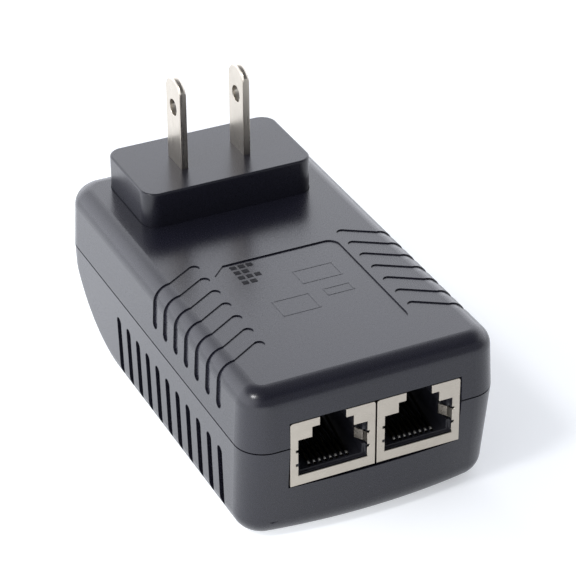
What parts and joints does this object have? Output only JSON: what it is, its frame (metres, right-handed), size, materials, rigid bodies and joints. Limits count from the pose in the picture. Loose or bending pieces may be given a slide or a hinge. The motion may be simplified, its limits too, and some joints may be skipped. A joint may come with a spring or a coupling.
{
  "type": "poe injector",
  "caption": "Wall-plug power-over-Ethernet injector with flat mains blades on a raised boss and two shielded network jacks in one end.",
  "frame": {"origin": "middle of the bounding box on the resting face", "axes": "+Z along the mains blades, away from the resting face; -Y is the end with the network jacks; X is across the housing"},
  "size_m": [0.0486, 0.084, 0.0553],
  "materials": {
    "housing": "satin fine spark texture",
    "plug_insert": "smooth satin",
    "blade_metal": "nickel plated brass",
    "lead_insulation": "satin",
    "board": "solder mask",
    "shield_metal": "nickel plated sheet",
    "jack_plastic": "moulded",
    "contact_gold": "gold flash",
    "ferrite": "sintered",
    "bobbin_plastic": "phenolic",
    "winding_tape": "polyester tape",
    "enamelled_copper": "enamelled",
    "tinned_metal": "tinned",
    "component_plastic": "moulded epoxy",
    "heat_sink_metal": "mill finish",
    "capacitor_sleeve": "shrunk sleeve",
    "disc_coating": "dipped",
    "capacitor_box": "moulded",
    "chip_ceramic": "fired"
  },
  "bodies": {
    "housing": {"top_cover": "housing", "bottom_cover": "housing", "plug_boss": "plug_insert", "line_blade": "blade_metal", "neutral_blade": "blade_metal", "line_lead": "lead_insulation", "neutral_lead": "lead_insulation", "circuit_board": "board", "left_jack_shield": "shield_metal", "left_jack_body": "jack_plastic", "left_contact_tails": "contact_gold", "right_jack_shield": "shield_metal", "right_jack_body": "jack_plastic", "right_contact_tails": "contact_gold", "transformer_core": "ferrite", "transformer_bobbin": "bobbin_plastic", "transformer_winding": "winding_tape", "transformer_pins": "tinned_metal", "choke_core": "ferrite", "choke_windings": "enamelled_copper", "switching_transistor": "component_plastic", "heat_sink": "heat_sink_metal", "heat_sink_screw": "tinned_metal", "inductor_core": "ferrite", "inductor_winding": "enamelled_copper", "output_diode": "component_plastic", "bulk_capacitor": "capacitor_sleeve", "output_capacitors": "capacitor_sleeve", "mains_fuse": "component_plastic", "varistor": "disc_coating", "safety_capacitor": "disc_coating", "filter_capacitor": "capacitor_box", "optocoupler": "component_plastic", "bridge_rectifier": "component_plastic", "controller_chip": "component_plastic", "chip_resistors": "component_plastic", "chip_capacitors": "chip_ceramic"},
    "left_contacts": {"left_contact_springs": "contact_gold"},
    "left_left_tab": {"left_jack_left_spring": "shield_metal"},
    "left_right_tab": {"left_jack_right_spring": "shield_metal"},
    "right_contacts": {"right_contact_springs": "contact_gold"},
    "right_left_tab": {"right_jack_left_spring": "shield_metal"},
    "right_right_tab": {"right_jack_right_spring": "shield_metal"}
  },
  "joints": [
    {"name": "left_contacts_flex", "type": "hinge", "parent": "housing", "child": "left_contacts", "pos_m": [-0.00817, -0.0393, 0.01338], "axis": [-1, 0, 0], "range_deg": [0, 13], "stiffness_Nm_per_rad": 0.006},
    {"name": "left_left_tab_flex", "type": "hinge", "parent": "housing", "child": "left_left_tab", "pos_m": [-0.01493, -0.04115, 0.0169], "axis": [0, 0, 1], "range_deg": [0, 9], "stiffness_Nm_per_rad": 0.004},
    {"name": "left_right_tab_flex", "type": "hinge", "parent": "housing", "child": "left_right_tab", "pos_m": [-0.00143, -0.04115, 0.0169], "axis": [0, 0, -1], "range_deg": [0, 9], "stiffness_Nm_per_rad": 0.004},
    {"name": "right_contacts_flex", "type": "hinge", "parent": "housing", "child": "right_contacts", "pos_m": [0.00817, -0.0393, 0.01338], "axis": [-1, 0, 0], "range_deg": [0, 13], "stiffness_Nm_per_rad": 0.006},
    {"name": "right_left_tab_flex", "type": "hinge", "parent": "housing", "child": "right_left_tab", "pos_m": [0.00143, -0.04115, 0.0169], "axis": [0, 0, 1], "range_deg": [0, 9], "stiffness_Nm_per_rad": 0.004},
    {"name": "right_right_tab_flex", "type": "hinge", "parent": "housing", "child": "right_right_tab", "pos_m": [0.01493, -0.04115, 0.0169], "axis": [0, 0, -1], "range_deg": [0, 9], "stiffness_Nm_per_rad": 0.004}
  ]
}
